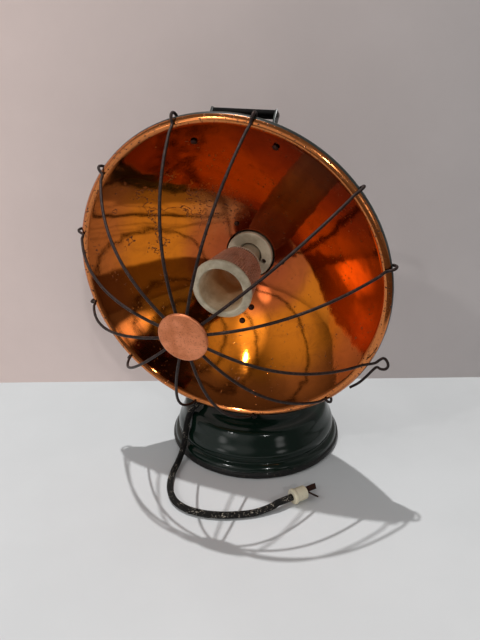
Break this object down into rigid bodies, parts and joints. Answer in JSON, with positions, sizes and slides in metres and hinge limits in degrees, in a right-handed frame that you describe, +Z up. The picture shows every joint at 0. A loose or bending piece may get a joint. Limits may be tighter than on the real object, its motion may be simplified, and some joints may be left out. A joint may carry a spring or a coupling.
{
  "type": "electric bowl heater",
  "caption": "Portable electric heater with a copper parabolic bowl, a wound porcelain element, a wire guard and a carrying handle, tilting on a post over a round enamelled base.",
  "frame": {"origin": "middle of the base's flat underside, on the floor", "axes": "+Z up; the bowl faces -Y; +X is to the viewer's right when looking into the bowl"},
  "size_m": [0.3342, 0.3233, 0.4021],
  "materials": {
    "copper_polished": "mirror polished copper, tarnished and scratched",
    "copper_satin": "satin copper, finely pitted",
    "oxidised_steel_wire": "dark brown oxidised wire",
    "porcelain": "aged unglazed porcelain",
    "resistance_wire": "oxidised resistance wire",
    "green_enamel": "glossy very dark green enamel",
    "black_paint": "black paint",
    "cast_iron": "bare",
    "braided_cloth": "black braided cloth with pale flecks",
    "cream_plastic": "cream moulded",
    "dark_brass": "dark tarnished brass",
    "dull_steel": "dull plated steel"
  },
  "bodies": {
    "stand": {"base_shell": "green_enamel", "base_plate": "cast_iron", "base_weight": "cast_iron", "neck_collar": "black_paint", "post_nut": "dull_steel", "stand_post": "dull_steel", "hinge_fork": "black_paint", "friction_washer_left": "dull_steel", "friction_washer_right": "dull_steel", "hinge_bolt": "dull_steel", "wing_nut": "dull_steel", "cord_bushing": "black_paint", "cord": "braided_cloth", "plug_body": "cream_plastic", "plug_blade_1": "dark_brass", "plug_blade_2": "dark_brass"},
    "head": {"reflector_bowl": "copper_polished", "element_core": "porcelain", "element_winding": "resistance_wire", "socket_porcelain": "porcelain", "socket_screw_1": "dark_brass", "socket_screw_2": "dark_brass", "terminal_housing": "green_enamel", "housing_cover": "green_enamel", "housing_rivet_1": "dark_brass", "housing_rivet_2": "dark_brass", "housing_rivet_3": "dark_brass", "guard_wire_01": "oxidised_steel_wire", "guard_wire_02": "oxidised_steel_wire", "guard_wire_03": "oxidised_steel_wire", "guard_wire_04": "oxidised_steel_wire", "guard_wire_05": "oxidised_steel_wire", "guard_wire_06": "oxidised_steel_wire", "guard_wire_07": "oxidised_steel_wire", "guard_wire_08": "oxidised_steel_wire", "guard_wire_09": "oxidised_steel_wire", "guard_wire_10": "oxidised_steel_wire", "guard_wire_11": "oxidised_steel_wire", "guard_wire_12": "oxidised_steel_wire", "medallion_cap": "copper_satin", "medallion_back_plate": "oxidised_steel_wire", "medallion_nut": "oxidised_steel_wire", "handle_grip": "black_paint", "handle_strap_left": "green_enamel", "handle_strap_right": "green_enamel", "handle_pin_left": "dull_steel", "handle_pin_right": "dull_steel", "handle_screw_left": "dark_brass", "handle_screw_right": "dark_brass", "hinge_saddle": "black_paint", "saddle_screw_1": "dark_brass", "saddle_screw_2": "dark_brass"}
  },
  "joints": [
    {"name": "bowl_tilt", "type": "hinge", "parent": "stand", "child": "head", "pos_m": [0, 0, 0.1688], "axis": [-1, 0, 0], "range_deg": [0, 50]}
  ]
}
